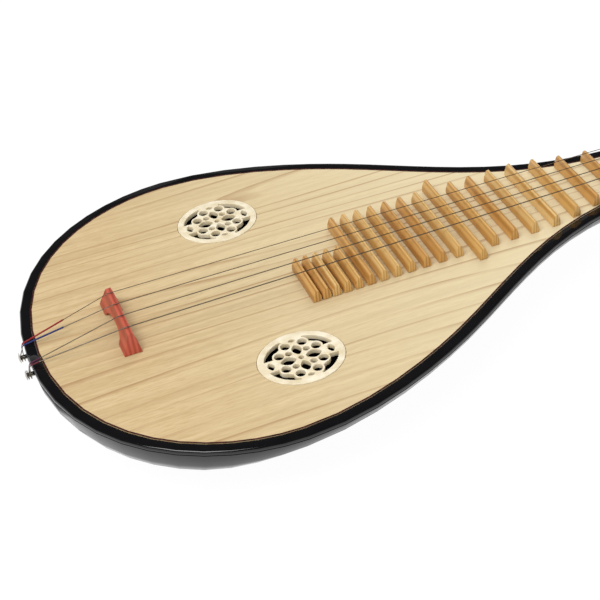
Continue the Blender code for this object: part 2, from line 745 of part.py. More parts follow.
def make_peg(number, place, side):
    """Make one peg and the bone cap on the end of its handle."""
    tip = -PEGBOX_HALF_WIDTH - PEG_TIP_REACH
    shoulder = PEGBOX_HALF_WIDTH + GAP
    handle_end = shoulder + PEG_HANDLE_LENGTH
    flute = PEG_FLUTE
    handle = PEG_HANDLE_RADIUS
    rings = [peg_ring(tip, peg_radius(tip)), peg_ring(shoulder, peg_radius(shoulder)),
             peg_ring(shoulder, PEG_SHOULDER_RADIUS), peg_ring(shoulder + 3 * MM, PEG_SHOULDER_RADIUS),
             peg_ring(shoulder + 5 * MM, 0.5 * handle), peg_ring(shoulder + 10 * MM, 0.62 * handle, flute),
             peg_ring(shoulder + 0.45 * PEG_HANDLE_LENGTH, 0.84 * handle, flute),
             peg_ring(shoulder + 0.8 * PEG_HANDLE_LENGTH, handle, flute),
             peg_ring(handle_end - 4 * MM, 0.94 * handle, flute), peg_ring(handle_end, 0.66 * handle)]
    x = peg_x(place)
    axis_place = (x, 0, peg_z(x))
    turn = (-side * math.pi / 2, 0, 0)
    peg = loft(f"peg_{number}", rings)
    peg.location = axis_place
    peg.rotation_euler = turn
    add_part(peg, rosewood)
    cap_bottom = handle_end + GAP
    profile = [(0, cap_bottom + PEG_CAP_HEIGHT)]
    for degrees in (60, 30, 0):
        angle = math.radians(degrees)
        profile.append((PEG_CAP_RADIUS * math.cos(angle),
                        cap_bottom + 1 * MM + (PEG_CAP_HEIGHT - 1 * MM) * math.sin(angle)))
    profile += [(PEG_CAP_RADIUS, cap_bottom), (0, cap_bottom)]
    cap = turned(f"peg_cap_{number}", profile, PEG_SIDES)
    cap.location = axis_place
    cap.rotation_euler = turn
    return add_part(cap, ivory)


def make_tail_pin(name, side):
    """Make one mushroom-headed pin that the string loops hang on."""
    under_head = PIN_REACH - PIN_HEAD_HEIGHT
    rim_radius = PIN_HEAD_RADIUS
    profile = [(0, PIN_REACH), (0.6 * rim_radius, PIN_REACH - 0.2 * PIN_HEAD_HEIGHT),
               (rim_radius, PIN_REACH - 0.6 * PIN_HEAD_HEIGHT), (rim_radius, under_head),
               (PIN_SHANK_RADIUS, under_head), (PIN_SHANK_RADIUS, GAP - PIN_BORE_DEPTH),
               (0, GAP - PIN_BORE_DEPTH)]
    pin = turned(name, profile, 12)
    pin.location = (TAIL_OUTER_X, side * PIN_Y, PIN_Z)
    pin.rotation_euler = (0, -math.pi / 2, 0)
    return add_part(pin, nickel)


def string_loop(index, radius):
    """Return the hook of string index round its pin, and the way over the rim."""
    side = 1 if index < 2 else -1
    outer_of_pair = index in (0, 3)
    reach = PIN_SHANK_RADIUS + GAP + radius
    x = TAIL_OUTER_X - 0.55 * MM - radius - (0 if outer_of_pair else LOOP_SPACING)
    points = []
    for step in range(8):
        angle = math.radians(120 + 240 * step / 7)
        points.append((x, side * (PIN_Y + reach * math.cos(angle)), PIN_Z + reach * math.sin(angle)))
    y = RIM_STRING_Y[index]
    face_x = TAIL_OUTER_X - GAP - radius
    points += [(face_x - 0.1 * MM, y, -1.3 * MM), (face_x + 0.25 * MM, y, 0)]
    return points


def string_route(index):
    """Return the points and radii of one string, from pin to peg."""
    radius = STRING_RADII[index]
    spread = 1.5 - index
    points = string_loop(index, radius)
    radii = [radius] * len(points)
    bridge_y = spread * BRIDGE_STRING_SPACING
    bridge_z = BRIDGE_HEIGHT + GAP + radius
    rim_point = Vector((TAIL_OUTER_X + 0.35 * MM, RIM_STRING_Y[index], GAP + SILK_RADIUS))
    ridge_point = Vector((BRIDGE_RIDGE_X - BRIDGE_RIDGE_WIDTH / 2 - 0.1 * MM, bridge_y, bridge_z))
    silk_share = (SILK_ENDS_X[index] - rim_point.x) / (ridge_point.x - rim_point.x)
    silk_end = rim_point.lerp(ridge_point, silk_share)
    step_end = rim_point.lerp(ridge_point, silk_share + 0.02)
    points += [rim_point, silk_end, step_end, ridge_point]
    radii += [SILK_RADIUS, SILK_RADIUS, radius, radius]
    nut_y = spread * NUT_STRING_SPACING
    nut_z = NUT_HEIGHT + GAP + radius
    leave = Vector((STRING_LENGTH + NUT_FLAT + 0.3 * MM, nut_y, nut_z))
    points += [(ridge_point.x + BRIDGE_RIDGE_WIDTH + 0.2 * MM, bridge_y, bridge_z),
               (STRING_LENGTH, nut_y, nut_z), leave]
    winding = winding_points(index, radius, leave)
    points += winding
    radii += [radius] * (3 + len(winding))
    return [Vector(point) for point in points], radii


def winding_points(index, radius, leave):
    """Return the turns of one string round its peg, from where it first touches."""
    place, handle_side = PEG_PLACES[index + 1]
    side = 1 if index < 2 else -1
    axis_x = peg_x(place)
    axis_z = peg_z(axis_x)
    reach = peg_radius(side * handle_side * (WINDING_START_Y + WINDING_PITCH * WINDING_TURNS))
    reach = max(reach, peg_radius(side * handle_side * WINDING_START_Y)) + GAP + radius
    distance = math.hypot(leave.x - axis_x, leave.z - axis_z)
    toward = math.atan2(leave.z - axis_z, leave.x - axis_x)
    touch = toward - math.acos(reach / distance)
    points = []
    for step in range(WINDING_STEPS * WINDING_TURNS + 1):
        turns = step / WINDING_STEPS
        angle = touch - math.tau * turns
        points.append((axis_x + reach * math.cos(angle),
                       side * (WINDING_START_Y + WINDING_PITCH * turns),
                       axis_z + reach * math.sin(angle)))
    return points


def least_winding_gap(points, radius):
    """Measure the least gap between neighbouring turns of a winding."""
    winding = points[-(WINDING_STEPS * WINDING_TURNS + 1):]
    least = math.inf
    for first in range(len(winding)):
        for second in range(first + WINDING_STEPS // 2, len(winding)):
            least = min(least, (winding[first] - winding[second]).length)
    return least - 2 * radius


def make_strings():
    """Make the four strings and print the least gap in their windings."""
    for index, radius in enumerate(STRING_RADII):
        points, radii = string_route(index)
        add_part(tube(f"string_{index + 1}", points, radii), steel)
        gap = least_winding_gap(points, radius)
        print(f"string_{index + 1}: least gap between turns {gap / MM:.2f} mm")


def stand_on_back():
    """Move the root so that the origin lies under the middle of the instrument."""
    bpy.context.view_layer.update()
    graph = bpy.context.evaluated_depsgraph_get()
    corners = []
    for obj in parts.objects:
        shape = obj.evaluated_get(graph)
        corners += [shape.matrix_world @ Vector(corner) for corner in shape.bound_box]
    low = [min(corner[axis] for corner in corners) for axis in range(3)]
    high = [max(corner[axis] for corner in corners) for axis in range(3)]
    root.location = (-(low[0] + high[0]) / 2, -(low[1] + high[1]) / 2, -low[2])
    print("root at", [round(value / MM, 3) for value in root.location], "mm")


# Which peg each string winds on: its place from the nut, and its handle's side
PEG_PLACES = {1: (0, 1), 2: (2, 1), 3: (3, -1), 4: (1, -1)}

for old in list(bpy.data.objects):
    bpy.data.objects.remove(old)

parts = bpy.data.collections.new("Liuqin")
cutters = bpy.data.collections.new("Cutters")
bpy.context.scene.collection.children.link(parts)
bpy.context.scene.collection.children.link(cutters)
root = bpy.data.objects.new("string_frame", None)
bpy.context.scene.collection.objects.link(root)

lacquer = make_material("Black lacquered hardwood", 0x101012, 0.12)
paulownia = make_material("Paulownia soundboard", 0xC6AC88, 0.55)
bamboo = make_material("Bamboo", 0xC99A4A, 0.4)
redwood = make_material("Red hardwood", 0x7E3826, 0.4)
ivory = make_material("Bone", 0xE8DCC2, 0.4)
spruce = make_material("Spruce", 0xD6BD92, 0.6)
rosewood = make_material("Rosewood", 0x3A2018, 0.3)
nickel = make_material("Nickel plate", 0xB9B6AE, 0.2, 1.0)
steel = make_material("Steel wire", 0xC4C4C6, 0.25, 1.0)

make_back_shell()
make_neck()
make_soundboard()
make_rim("rim_left", 1)
make_rim("rim_right", -1)
make_rosette("rosette_left", 1)
make_rosette("rosette_right", -1)
inner_form = add_cutter(hollow_form("inner_form", GAP))
make_brace("brace_tail", BRACE_TAIL_X, inner_form)
make_brace("brace_middle", BRACE_MIDDLE_X, inner_form)
make_brace("brace_neck", BRACE_NECK_X, inner_form)
make_tail_block(inner_form)
make_sound_post()
make_bridge()
for fret_number in range(1, FRET_COUNT + 1):
    make_fret(fret_number)
make_nut()
make_pegbox()
make_head_ornament()
for peg_number, (peg_place, peg_side) in PEG_PLACES.items():
    make_peg(peg_number, peg_place, peg_side)
make_tail_pin("tail_pin_1", 1)
make_tail_pin("tail_pin_2", -1)
make_strings()
stand_on_back()
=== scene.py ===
# %% [markdown]
# # A liuqin, dressed for its portrait
#
# A liuqin is a small pear-shaped lute. Its back is carved from one block and
# lacquered black, its soundboard is bare paulownia, and tall bamboo frets stand
# on it. The solids already have their real sizes, so this lesson softens their
# edges, gives the frets and the rosettes finer shapes, and gives each surface a
# finish that is worked out from the real material.

# %% Load the solids
import json
import math

import bmesh
import bpy
from mathutils import Matrix, Vector

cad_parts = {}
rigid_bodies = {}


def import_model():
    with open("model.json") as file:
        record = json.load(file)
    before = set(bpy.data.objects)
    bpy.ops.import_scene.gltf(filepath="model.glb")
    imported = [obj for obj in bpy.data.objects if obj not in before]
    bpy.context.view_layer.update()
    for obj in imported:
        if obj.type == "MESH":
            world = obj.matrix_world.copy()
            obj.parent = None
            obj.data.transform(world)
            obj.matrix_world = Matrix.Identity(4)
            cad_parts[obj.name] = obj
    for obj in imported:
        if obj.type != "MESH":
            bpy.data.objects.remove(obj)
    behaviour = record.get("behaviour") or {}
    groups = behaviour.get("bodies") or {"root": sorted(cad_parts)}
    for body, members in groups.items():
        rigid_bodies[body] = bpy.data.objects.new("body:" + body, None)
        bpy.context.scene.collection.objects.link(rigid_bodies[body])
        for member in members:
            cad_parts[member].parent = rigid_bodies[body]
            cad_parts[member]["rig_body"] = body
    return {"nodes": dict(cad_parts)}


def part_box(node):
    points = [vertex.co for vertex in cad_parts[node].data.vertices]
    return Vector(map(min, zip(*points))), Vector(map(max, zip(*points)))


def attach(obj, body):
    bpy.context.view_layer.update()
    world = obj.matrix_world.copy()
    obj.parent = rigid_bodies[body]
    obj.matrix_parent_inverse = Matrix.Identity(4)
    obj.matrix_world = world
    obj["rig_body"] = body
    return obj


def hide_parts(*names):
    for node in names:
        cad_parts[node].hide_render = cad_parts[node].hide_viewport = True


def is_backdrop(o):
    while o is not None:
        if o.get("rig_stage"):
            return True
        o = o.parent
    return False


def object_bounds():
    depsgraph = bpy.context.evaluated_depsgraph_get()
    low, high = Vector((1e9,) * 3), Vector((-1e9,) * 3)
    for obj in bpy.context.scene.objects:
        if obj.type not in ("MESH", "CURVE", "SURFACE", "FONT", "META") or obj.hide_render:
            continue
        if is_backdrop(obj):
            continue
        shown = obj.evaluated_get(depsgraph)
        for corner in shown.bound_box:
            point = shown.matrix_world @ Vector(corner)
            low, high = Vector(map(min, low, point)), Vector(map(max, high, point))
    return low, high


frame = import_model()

MM = 0.001
cad_low, cad_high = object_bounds()

# %% [markdown]
# ## The camera
#
# The photograph looks down on the tail from the bass side with a long lens.
# The place where the strings leave the bridge is the natural point to measure
# from: it lies one string length from the nut. So the camera is aimed from
# there, and its lens is given in millimetres.

# %% Camera
STRING_LENGTH = 380 * MM
VIEW_AZIMUTH = math.radians(72.27)
VIEW_DOWN = math.radians(39.09)
VIEW_ROLL = math.radians(-6.12)
VIEW_DISTANCE = 792.5 * MM
LENS = 88.5
SENSOR_WIDTH = 36
NEAREST_SEEN = 0.01
FARTHEST_SEEN = 20

board_low, board_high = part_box("soundboard")
nut_low, nut_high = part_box("nut")
string_end = Vector((nut_low.x - STRING_LENGTH, 0, board_high.z))
view_target = string_end + Vector((87.0 * MM, -22.9 * MM, 0))
forward = Vector((math.cos(VIEW_AZIMUTH) * math.cos(VIEW_DOWN),
                  math.sin(VIEW_AZIMUTH) * math.cos(VIEW_DOWN), -math.sin(VIEW_DOWN)))
level_right = Vector((math.sin(VIEW_AZIMUTH), -math.cos(VIEW_AZIMUTH), 0))
level_up = level_right.cross(forward)
right = level_right * math.cos(VIEW_ROLL) + level_up * math.sin(VIEW_ROLL)
up = level_up * math.cos(VIEW_ROLL) - level_right * math.sin(VIEW_ROLL)

camera = bpy.data.objects.new("camera", bpy.data.cameras.new("camera"))
camera.data.lens = LENS
camera.data.sensor_width = SENSOR_WIDTH
camera.data.clip_start = NEAREST_SEEN
camera.data.clip_end = FARTHEST_SEEN
turn = Matrix((right, up, -forward)).transposed()
camera.matrix_world = Matrix.LocRotScale(view_target - forward * VIEW_DISTANCE,
                                         turn.to_quaternion(), None)
bpy.context.scene.collection.objects.link(camera)
bpy.context.scene.camera = camera
print("camera at", [round(value, 3) for value in camera.location])

# %% [markdown]
# ## Helpers for materials
#
# A material is a small graph of nodes. One helper adds a node with its settings
# and links, and another turns a colour as painters and web pages write it into
# the linear light that the renderer works with.

# %% One helper for nodes, one for colours


def add(tree, kind, inputs=None, **settings):
    """Add a node with its settings; an input that is a socket is linked."""
    node = tree.nodes.new(kind)
    for name, value in settings.items():
        setattr(node, name, value)
    for socket, value in (inputs or {}).items():
        if isinstance(value, bpy.types.NodeSocket):
            tree.links.new(value, node.inputs[socket])
        else:
            node.inputs[socket].default_value = value
    return node


def linear(value):
    """Turn an sRGB hex number into a linear colour."""
    channels = [(value >> shift & 255) / 255 for shift in (16, 8, 0)]
    return (*[c / 12.92 if c <= 0.04045 else ((c + 0.055) / 1.055) ** 2.4 for c in channels], 1.0)


WHITE = linear(0xFFFFFF)
print("white is", WHITE)

# %% [markdown]
# ## Floor
#
# Product photographs of instruments stand on a white sweep of paper. Here it is
# one pale matt sheet. Where the camera or a reflection meets it, most of its
# light is its own white, and the small part that is lit keeps a faint shadow
# under the belly.

# %% Floor
FLOOR_SHEET = linear(0xF2F2F2)
FLOOR_SEEN_WHITE = 0.93
FLOOR_GLOW = 1.04
FLOOR_SIZE = 12.0
FLOOR_GAP = 0.2 * MM

floor_paper = bpy.data.materials.new("White paper sweep")
floor_paper.use_nodes = True
tree = floor_paper.node_tree
tree.nodes.clear()
path = add(tree, "ShaderNodeLightPath")
seen = add(tree, "ShaderNodeMath", {0: path.outputs["Is Camera Ray"],
                                    1: path.outputs["Is Glossy Ray"]}, operation="MAXIMUM")
seen = add(tree, "ShaderNodeMath", {0: seen.outputs[0],
                                    1: path.outputs["Is Transmission Ray"]}, operation="MAXIMUM")
share = add(tree, "ShaderNodeMath", {0: seen.outputs[0], 1: FLOOR_SEEN_WHITE},
            operation="MULTIPLY")
matt = add(tree, "ShaderNodeBsdfDiffuse", {"Color": FLOOR_SHEET})
glow = add(tree, "ShaderNodeEmission", {"Color": WHITE, "Strength": FLOOR_GLOW})
mixed = add(tree, "ShaderNodeMixShader", {0: share.outputs[0], 1: matt.outputs[0],
                                          2: glow.outputs[0]})
add(tree, "ShaderNodeOutputMaterial", {"Surface": mixed.outputs[0]})

work = bmesh.new()
bmesh.ops.create_grid(work, x_segments=1, y_segments=1, size=FLOOR_SIZE / 2)
floor_mesh = bpy.data.meshes.new("floor")
work.to_mesh(floor_mesh)
work.free()
floor_mesh.materials.append(floor_paper)
floor = bpy.data.objects.new("floor", floor_mesh)
floor.location.z = cad_low.z - FLOOR_GAP
bpy.context.scene.collection.objects.link(floor)
floor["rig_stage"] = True
print("the floor lies", FLOOR_GAP / MM, "mm under the instrument")

# %% [markdown]
# ## Room and lamps
#
# The camera sees white all round. A reflection sees white at the horizon and a
# dark ceiling, which is what keeps black lacquer black with a bright edge. One
# large soft lamp over the tail models the carved wood, and a weaker one, kept
# out of reflections, fills the far side.

# %% Room and lamps
ROOM_LIGHT = 0.55
HORIZON_HEIGHT = 0.1
CEILING_HEIGHT = 0.4
CEILING_LIGHT = 0.05

world = bpy.data.worlds.new("White room")
bpy.context.scene.world = world
world.use_nodes = True
tree = world.node_tree
tree.nodes.clear()
path = add(tree, "ShaderNodeLightPath")
seen = add(tree, "ShaderNodeMath", {0: path.outputs["Is Camera Ray"],
                                    1: path.outputs["Is Glossy Ray"]}, operation="MAXIMUM")
direction = add(tree, "ShaderNodeTexCoord")
height = add(tree, "ShaderNodeSeparateXYZ", {0: direction.outputs["Generated"]})
ceiling = add(tree, "ShaderNodeMapRange", {0: height.outputs["Z"], 1: HORIZON_HEIGHT,
                                           2: CEILING_HEIGHT, 3: 1.0, 4: CEILING_LIGHT})
bright = add(tree, "ShaderNodeMath", {0: path.outputs["Is Camera Ray"], 1: ceiling.outputs[0]},
             operation="MAXIMUM")
room = add(tree, "ShaderNodeBackground", {"Color": WHITE, "Strength": ROOM_LIGHT})
backdrop = add(tree, "ShaderNodeBackground", {"Color": WHITE, "Strength": bright.outputs[0]})
mixed = add(tree, "ShaderNodeMixShader", {0: seen.outputs[0], 1: room.outputs[0],
                                          2: backdrop.outputs[0]})
add(tree, "ShaderNodeOutputWorld", {"Surface": mixed.outputs[0]})


def add_lamp(name, place, size, power, mirrored=True):
    """Add a square soft lamp that looks at the soundboard; it may stay out of reflections."""
    lamp = bpy.data.lights.new(name, "AREA")
    lamp.size = size
    lamp.energy = power
    holder = bpy.data.objects.new(name, lamp)
    holder.location = place
    holder.rotation_mode = "QUATERNION"
    holder.rotation_quaternion = (view_target - Vector(place)).to_track_quat("-Z", "Y")
    holder.visible_glossy = mirrored
    bpy.context.scene.collection.objects.link(holder)


add_lamp("key_lamp", place=(-0.9, -0.5, 1.5), size=0.9, power=17)
add_lamp("fill_lamp", place=(0.8, 1.2, 1.4), size=1.2, power=9, mirrored=False)
bpy.context.scene.view_settings.view_transform = "Standard"
print("the room and two lamps are in place")

# %% [markdown]
# ## Woods
#
# Every wood but the soundboard's shows on small pieces cut along the fibres, so
# one recipe serves them all: broad bands of early and late wood, fine fibres, a
# clouded stain, and pores that catch the light. The bands' spacing, the fibres'
# width and the way that they run come from the real piece, and only those, the
# colours and the shine change from wood to wood.

# %% A wood recipe

# A wave texture of scale 1 repeats after this length
WAVE_PERIOD = 0.314
BAND_STRETCH = 9
FIBRE_STRETCH = 40
CLOUD_SIZE = 22 * MM
CLOUD_STRETCH = 3
# Real pores are about 0.2 mm wide; these are drawn coarser, so that they show
PORE_SIZE = 0.35 * MM
PORE_STRETCH = 14
RELIEF = 0.1 * MM


def new_material(name):
    """Start a material and return it with its tree and shader."""
    material = bpy.data.materials.new(name)
    material.use_nodes = True
    tree = material.node_tree
    return material, tree, tree.nodes["Principled BSDF"]


def stretched(tree, along, period, stretch):
    """Return object coordinates scaled so that a pattern runs along one axis."""
    coordinates = add(tree, "ShaderNodeTexCoord")
    scale = [1 / period] * 3
    scale["xyz".index(along)] = 1 / (period * stretch)
    mapping = add(tree, "ShaderNodeMapping", {"Vector": coordinates.outputs["Object"],
                                              "Scale": scale})
    return mapping.outputs[0]


def wood(name, early, late, stain, along, band_mm, fibre_mm, roughness, coat=0.0, waviness=4.0):
    """Make a wood from its two band colours, its stain colour and its grain."""
    material, tree, shader = new_material(name)
    bands_at = stretched(tree, along, band_mm * MM / WAVE_PERIOD, BAND_STRETCH)
    bands = add(tree, "ShaderNodeTexWave",
                {"Vector": bands_at, "Scale": 1.0, "Distortion": waviness, "Detail": 3.0,
                 "Detail Scale": 0.6, "Detail Roughness": 0.55},
                bands_direction="Y" if along == "x" else "X")
    fibres_at = stretched(tree, along, fibre_mm * MM, FIBRE_STRETCH)
    fibres = add(tree, "ShaderNodeTexNoise", {"Vector": fibres_at, "Scale": 1.0, "Detail": 4.0,
                                              "Roughness": 0.6})
    clouds_at = stretched(tree, along, CLOUD_SIZE, CLOUD_STRETCH)
    clouds = add(tree, "ShaderNodeTexNoise", {"Vector": clouds_at, "Scale": 1.0, "Detail": 2.0})
    grain = add(tree, "ShaderNodeMixRGB", {0: 0.5, 1: bands.outputs["Fac"],
                                           2: fibres.outputs["Fac"]})
    ramp = add(tree, "ShaderNodeValToRGB", {0: grain.outputs[0]})
    dark_end, light_end = ramp.color_ramp.elements
    dark_end.position, dark_end.color = 0.28, linear(late)
    light_end.position, light_end.color = 0.66, linear(early)
    cloud_share = add(tree, "ShaderNodeMapRange", {0: clouds.outputs["Fac"], 1: 0.35, 2: 0.7,
                                                   3: 0.0, 4: 0.55})
    colour = add(tree, "ShaderNodeMixRGB", {0: cloud_share.outputs[0], 1: ramp.outputs[0],
                                            2: linear(stain)})
    pores_at = stretched(tree, along, PORE_SIZE, PORE_STRETCH)
    pores = add(tree, "ShaderNodeTexNoise", {"Vector": pores_at, "Scale": 1.0, "Detail": 2.0})
    relief = add(tree, "ShaderNodeBump", {"Strength": 0.35, "Distance": RELIEF,
                                          "Height": pores.outputs["Fac"]})
    tree.links.new(colour.outputs[0], shader.inputs["Base Color"])
    tree.links.new(relief.outputs[0], shader.inputs["Normal"])
    shader.inputs["Roughness"].default_value = roughness
    shader.inputs["Coat Weight"].default_value = coat
    shader.inputs["Coat Roughness"].default_value = 0.15
    return material


print("a wave repeats every", WAVE_PERIOD, "units before it is scaled")

# %% Woods from the recipe

# Bamboo splits into straight fibres; strips from the skin side are paler than
# those from the core, which gives the row of frets its changing gold
bamboos = [
    wood("Split bamboo, pale", early=0xE6C283, late=0xC2914A, stain=0xD6AC66, along="y",
         band_mm=1.6, fibre_mm=0.35, roughness=0.4, coat=0.1, waviness=1.0),
    wood("Split bamboo, golden", early=0xDFB46E, late=0xBC8A46, stain=0xD0A25A, along="y",
         band_mm=1.4, fibre_mm=0.35, roughness=0.4, coat=0.1, waviness=1.0),
    wood("Split bamboo, core", early=0xD8A862, late=0xB07C3C, stain=0xC8944E, along="y",
         band_mm=1.8, fibre_mm=0.35, roughness=0.4, coat=0.1, waviness=1.0)]
# The bridge is a dense red hardwood, scraped and oiled: brick red with a low shine
redwood = wood("Oiled red hardwood", early=0xC96048, late=0xA03F2C, stain=0xB84E38, along="y",
               band_mm=2.6, fibre_mm=0.5, roughness=0.45, coat=0.05, waviness=1.5)
# Spruce inside the box is sawn and never finished, so it is dull and pale
spruce = wood("Sawn spruce", early=0xD9C297, late=0xB7945F, stain=0xC9AD7C, along="y",
              band_mm=2.5, fibre_mm=0.6, roughness=0.7)
# The pegs are turned from rosewood and polished until the dark wood gleams
rosewood = wood("Polished rosewood", early=0x5A3020, late=0x241009, stain=0x3A1C12, along="y",
                band_mm=2.0, fibre_mm=0.5, roughness=0.28, coat=0.4, waviness=3.0)
# A thin strip of veneer, dyed dark red, draws a line inside the rim
veneer = wood("Dyed red veneer", early=0x54211C, late=0x2C0F0D, stain=0x3C1714, along="x",
              band_mm=3.0, fibre_mm=0.6, roughness=0.4, coat=0.2)
print("the split, oiled, sawn, polished and dyed woods are mixed")

# %% [markdown]
# ## Paulownia
#
# The board is quarter-sawn paulownia, planed and left bare. Its growth rings
# show as thin brown lines about a finger's width apart, each darkening slowly
# through the season and ending sharply. A slow, stretched noise pushes them, so
# they wander and crowd as real rings do, and some years are fainter. Short
# fibres run between them. Toward the neck the board is painted paler, which is
# painted light for the brighter light that falls there.

# %% Rings of the paulownia
RING_SPACING = 11 * MM
RING_DRIFT = 5.0
DRIFT_WIDTH = 45 * MM
LATE_WOOD_START = 0.8
LATE_WOOD_END = 0.98

paulownia, tree, shader = new_material("Planed paulownia")
place = add(tree, "ShaderNodeTexCoord")
parts = add(tree, "ShaderNodeSeparateXYZ", {0: place.outputs["Object"]})
drift = add(tree, "ShaderNodeTexNoise", {"Vector": stretched(tree, "x", DRIFT_WIDTH, 12),
                                         "Scale": 1.0, "Detail": 1.0, "Roughness": 0.5})
pushed = add(tree, "ShaderNodeMath", {0: drift.outputs["Fac"], 1: RING_DRIFT},
             operation="MULTIPLY")
across = add(tree, "ShaderNodeMath", {0: parts.outputs["Y"], 1: 1 / RING_SPACING,
                                      2: pushed.outputs[0]}, operation="MULTIPLY_ADD")
season = add(tree, "ShaderNodeMath", {0: across.outputs[0]}, operation="FRACT")
late_wood = add(tree, "ShaderNodeMapRange", {0: season.outputs[0], 1: LATE_WOOD_START,
                                             2: LATE_WOOD_END, 3: 0.0, 4: 0.8})
weather = add(tree, "ShaderNodeTexNoise", {"Vector": stretched(tree, "x", 10 * MM, 14),
                                           "Scale": 1.0, "Detail": 2.0, "Roughness": 0.5})
strong = add(tree, "ShaderNodeMapRange", {0: weather.outputs["Fac"], 1: 0.38, 2: 0.62,
                                          3: 0.2, 4: 1.0})
ring_line = add(tree, "ShaderNodeMath", {0: late_wood.outputs[0], 1: strong.outputs[0]},
                operation="MULTIPLY")
print("rings lie about", RING_SPACING / MM, "mm apart")

# %% Streaks, fibres and colour of the paulownia
STREAK_WIDTH = 4 * MM
# The real fibres are finer than a hair; they are drawn coarser, so that they show
FIBRE_WIDTH = 0.8 * MM
# Painted light: from here toward the neck the board is painted paler, for the brighter light that
# falls there
PAINTED_LIGHT_START = -260 * MM
PAINTED_LIGHT_END = 20 * MM

minor = add(tree, "ShaderNodeTexNoise", {"Vector": stretched(tree, "x", STREAK_WIDTH, 40),
                                         "Scale": 1.0, "Detail": 3.0, "Roughness": 0.65})
streak = add(tree, "ShaderNodeValToRGB", {0: minor.outputs["Fac"]})
dark_end, light_end = streak.color_ramp.elements
dark_end.position, dark_end.color = 0.35, linear(0xC9AE80)
light_end.position, light_end.color = 0.62, linear(0xD9C092)
fibres = add(tree, "ShaderNodeTexNoise", {"Vector": stretched(tree, "x", FIBRE_WIDTH, 10),
                                          "Scale": 1.0, "Detail": 3.0, "Roughness": 0.7})
fibre_share = add(tree, "ShaderNodeMapRange", {0: fibres.outputs["Fac"], 1: 0.45, 2: 0.7,
                                               3: 0.0, 4: 0.6})
fibred = add(tree, "ShaderNodeMixRGB", {0: fibre_share.outputs[0], 1: streak.outputs[0],
                                        2: linear(0xBC9D6C)})
# Painted light: along the board toward the neck its colour is mixed toward a pale cream
painted_light_share = add(tree, "ShaderNodeMapRange", {0: parts.outputs["X"], 1: PAINTED_LIGHT_START,
                                               2: PAINTED_LIGHT_END, 3: 0.0, 4: 0.8})
painted_paler = add(tree, "ShaderNodeMixRGB", {0: painted_light_share.outputs[0], 1: fibred.outputs[0],
                                        2: linear(0xF2E6C0)})
lined = add(tree, "ShaderNodeMixRGB", {0: ring_line.outputs[0], 1: painted_paler.outputs[0],
                                       2: linear(0xA57B4E)})
relief = add(tree, "ShaderNodeBump", {"Strength": 0.4, "Distance": RELIEF,
                                      "Height": fibres.outputs["Fac"]})
tree.links.new(lined.outputs[0], shader.inputs["Base Color"])
tree.links.new(relief.outputs[0], shader.inputs["Normal"])
shader.inputs["Roughness"].default_value = 0.62
print("the board turns creamy over", (PAINTED_LIGHT_END - PAINTED_LIGHT_START) / MM, "mm")

# %% [markdown]
# ## Lacquer
#
# The back, neck, rim and pegbox are sprayed with black lacquer and buffed. That
# gives the eye almost no colour, only a mirror that is a little uneven where
# the cloth went, so the roughness and a faint ripple do the work.

# %% Lacquer
lacquer, tree, shader = new_material("Buffed black lacquer")
skin = add(tree, "ShaderNodeTexNoise", {"Vector": stretched(tree, "x", 9 * MM, 1.6),
                                        "Scale": 1.0, "Detail": 2.0})
tint = add(tree, "ShaderNodeValToRGB", {0: skin.outputs["Fac"]})
tint.color_ramp.elements[0].color = linear(0x0A0A0C)
tint.color_ramp.elements[1].color = linear(0x141315)
wipe = add(tree, "ShaderNodeTexNoise", {"Vector": stretched(tree, "x", 2.5 * MM, 8),
                                        "Scale": 1.0, "Detail": 3.0})
gloss = add(tree, "ShaderNodeMapRange", {0: wipe.outputs["Fac"], 1: 0.3, 2: 0.75,
                                         3: 0.07, 4: 0.16})
ripple = add(tree, "ShaderNodeBump", {"Strength": 0.05, "Distance": 0.2 * MM,
                                      "Height": skin.outputs["Fac"]})
tree.links.new(tint.outputs[0], shader.inputs["Base Color"])
tree.links.new(gloss.outputs[0], shader.inputs["Roughness"])
tree.links.new(ripple.outputs[0], shader.inputs["Normal"])
shader.inputs["IOR"].default_value = 1.52
print("lacquer is as dark as", round(linear(0x0A0A0C)[0], 4))

# %% [markdown]
# ## Bone
#
# The rosettes, the nut, the head and the pegs' buttons are cut from
# bone-coloured cast resin. It is warm ivory with faint clouds, and the file
# leaves marks across it that soften its shine.

# %% Bone
bone, tree, shader = new_material("Cast bone resin")
cloud = add(tree, "ShaderNodeTexNoise", {"Vector": stretched(tree, "x", 5 * MM, 1.5),
                                         "Scale": 1.0, "Detail": 4.0})
tint = add(tree, "ShaderNodeValToRGB", {0: cloud.outputs["Fac"]})
dark_end, light_end = tint.color_ramp.elements
dark_end.position, dark_end.color = 0.3, linear(0xE2D1AB)
light_end.position, light_end.color = 0.7, linear(0xFAF0D7)
file_marks = add(tree, "ShaderNodeTexNoise", {"Vector": stretched(tree, "y", 0.3 * MM, 6),
                                              "Scale": 1.0})
marks = add(tree, "ShaderNodeBump", {"Strength": 0.2, "Distance": 0.05 * MM,
                                     "Height": file_marks.outputs["Fac"]})
tree.links.new(tint.outputs[0], shader.inputs["Base Color"])
tree.links.new(marks.outputs[0], shader.inputs["Normal"])
shader.inputs["Roughness"].default_value = 0.42
shader.inputs["IOR"].default_value = 1.54
print("bone is mixed")

# %% [markdown]
# ## Nickel
#
# The two tail pins are turned from brass and plated with nickel, which is a
# slightly warm grey mirror with fine scuffs from the strings' loops.

